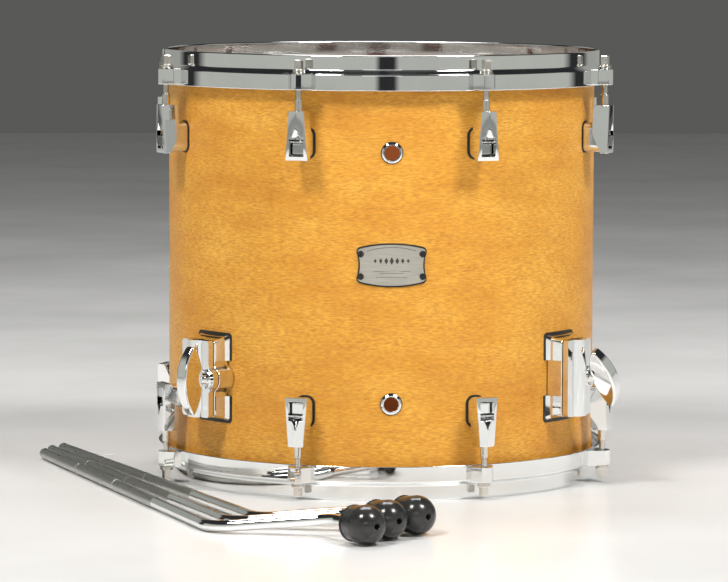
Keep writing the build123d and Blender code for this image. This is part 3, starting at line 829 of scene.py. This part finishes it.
def leg_point(start, heading, along, across):
    """A point of a leg that lies on the floor, in mm; its bent end rises to the foot."""
    turn = radians(heading)
    return Vector((
        start[0] + along * sin(turn) + across * cos(turn),
        start[1] - along * cos(turn) + across * sin(turn),
        leg_radius + foot_rise * across,
    ))


def leg_line(start, heading):
    """Stations of a leg: (place, direction, radius), with its arcs, grooves and chamfer."""
    corners = [leg_point(start, heading, *spot)
               for spot in ((0, 0), (leg_straight, 0), leg_knee, leg_tip)]
    straight = (corners[1] - corners[0]).normalized()
    stations = [(corners[0], straight, 0.01), (corners[0], straight, leg_radius - 0.8),
                (corners[0] + straight * 0.8, straight, leg_radius)]
    for groove in leg_grooves:
        for shift, depth in ((0, 0), (0.25, 0.6), (1.95, 0.6), (2.2, 0)):
            spot = corners[0] + straight * (groove + shift)
            stations.append((spot, straight, leg_radius - depth))
    for shift, depth in ((0, 0), (0.4, 0.12)):
        spot = corners[0] + straight * (knurl_end + shift)
        stations.append((spot, straight, leg_radius - depth))
    for index, radius in enumerate(leg_bends, 1):
        here = corners[index]
        before = (corners[index - 1] - here).normalized()
        after = (corners[index + 1] - here).normalized()
        half = before.angle(after) / 2
        centre = here + (before + after).normalized() * (radius / sin(half))
        reach = radius / tan(half)
        first, last = here + before * reach - centre, here + after * reach - centre
        axis = first.cross(last).normalized()
        sweep = first.angle(last)
        for step in range(17):
            turned = Matrix.Rotation(sweep * step / 16, 3, axis) @ first
            direction = axis.cross(turned).normalized()
            stations.append((centre + turned, direction, leg_radius - 0.12))
    end = (corners[3] - corners[2]).normalized()
    stations.append((corners[3] - end * 4, end, leg_radius - 0.12))
    return stations, corners[3], end


def leg_mesh(stations):
    """A tube through the stations, with (along, around) coordinates for the knurl."""
    mesh = bmesh.new()
    layer = mesh.loops.layers.uv.new("along_around")
    around = 56
    cells = 30
    rings = []
    travelled = 0.0
    for index, (spot, direction, radius) in enumerate(stations):
        if index:
            travelled += (spot - stations[index - 1][0]).length
        side = Vector((0, 0, 1)).cross(direction).normalized()
        up = direction.cross(side)
        ring = [
            mesh.verts.new((spot + (side * cos(angle) + up * sin(angle)) * radius) * mm)
            for angle in (2 * pi * k / around for k in range(around))
        ]
        rings.append((ring, travelled))
    for (low, start), (high, stop) in zip(rings, rings[1:]):
        knurled = stop <= knurl_end + 0.1
        for k in range(around):
            follow = (k + 1) % around
            face = mesh.faces.new([low[k], low[follow], high[follow], high[k]])
            face.material_index = 1 if knurled else 0
            values = ((start, k), (start, k + 1), (stop, k + 1), (stop, k))
            for loop, (distance, step) in zip(face.loops, values):
                loop[layer].uv = (distance / 1.1, step / around * cells)
    mesh.faces.new(rings[0][0][::-1])
    mesh.faces.new(rings[-1][0])
    return mesh


# glossy moulded rubber feet: a half ball with a hole in its end, a groove and a collar
foot_rubber, tree, shader = new_material("foot_rubber")
scuff = add_node(tree, "ShaderNodeTexNoise", in_Scale=70.0, in_Detail=5.0)
place = add_node(tree, "ShaderNodeTexCoord")
tree.links.new(place.outputs["Object"], scuff.inputs["Vector"])
tree.links.new(
    ramp_node(tree, scuff.outputs[0], [(0.35, grey(0.020)), (0.7, grey(0.034))]),
    shader.inputs["Base Color"],
)
tree.links.new(remap(tree, scuff.outputs[0], 0.3, 0.7, 0.16, 0.26), shader.inputs["Roughness"])
foot_profile = [(0.01, 10.5), (2.3, 10.5), (2.4, 16.6)]
ball_angles = [radians(9.5 + 80.5 * k / 20) for k in range(21)]
foot_profile += [(foot_radius * sin(a), foot_radius * cos(a)) for a in ball_angles]
foot_profile += [(17.25, -0.3), (16.2, -0.55), (16.2, -1.0), (16.95, -1.35), (16.9, -2.0),
                 (15.3, -16.2), (15.4, -16.5), (15.95, -16.7), (15.95, -17.6), (15.4, -18.2),
                 (7.0, -18.2), (5.4, -17.0), (5.4, -4.2), (0.01, -4.2)]

for name, (start, heading) in leg_places.items():
    stations, tip, outward = leg_line(start, heading)
    leg = mesh_object(f"leg_{name}_rod", leg_mesh(stations), f"leg_{name}", chrome)
    leg.data.materials.append(knurl_chrome)
    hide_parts(f"leg_{name}")
    mesh = bmesh.new()
    place = (Matrix.Translation(tip * mm) @ outward.to_track_quat("Z", "Y").to_matrix().to_4x4())
    lathe(mesh, foot_profile[::-1], 72, place)
    bmesh.ops.remove_doubles(mesh, verts=mesh.verts[:], dist=3e-5)
    foot = mesh_object(f"leg_{name}_foot", mesh, f"leg_{name}", foot_rubber, 45)
    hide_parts(f"leg_foot_{name}")
